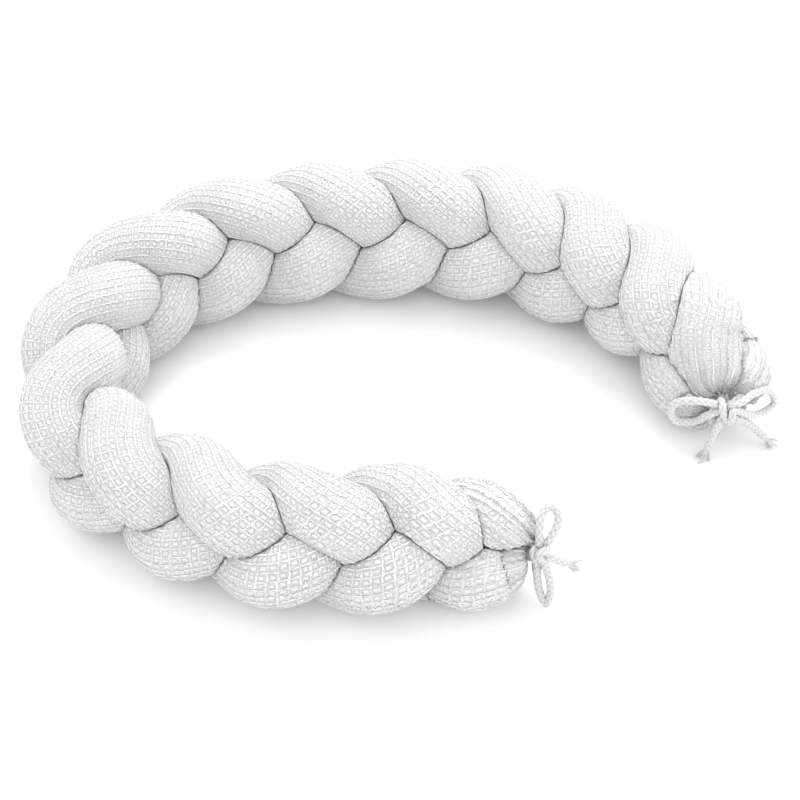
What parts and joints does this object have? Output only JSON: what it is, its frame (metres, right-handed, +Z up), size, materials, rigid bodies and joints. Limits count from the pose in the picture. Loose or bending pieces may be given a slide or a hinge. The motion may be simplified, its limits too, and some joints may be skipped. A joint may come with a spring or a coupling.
{
  "type": "plaited crib bumper, laid in a curve, with a cord tie at each end",
  "caption": "Plaited crib bumper of filled white waffle-cotton tubes, lying in an open C, with each gathered end tied by a soft cotton cord in a bow",
  "frame": {"origin": "on the surface that the bumper lies on, below the middle of the plait's box without the ties", "axes": "+Z up. +X towards the open side of the C, where both tied ends are. +Y towards the longer, far arm."},
  "size_m": [0.7276, 0.5328, 0.1415],
  "materials": {
    "waffle_cotton": "white waffle-weave cotton, soft and matt, drawn tight over a plump filling",
    "cotton_cord": "white braided cotton cord, soft and matt, frayed at its ends"
  },
  "bodies": {
    "root": {"strand_1": "waffle_cotton", "strand_2": "waffle_cotton", "strand_3": "waffle_cotton", "tie_far": "cotton_cord", "tie_near": "cotton_cord"}
  },
  "joints": []
}
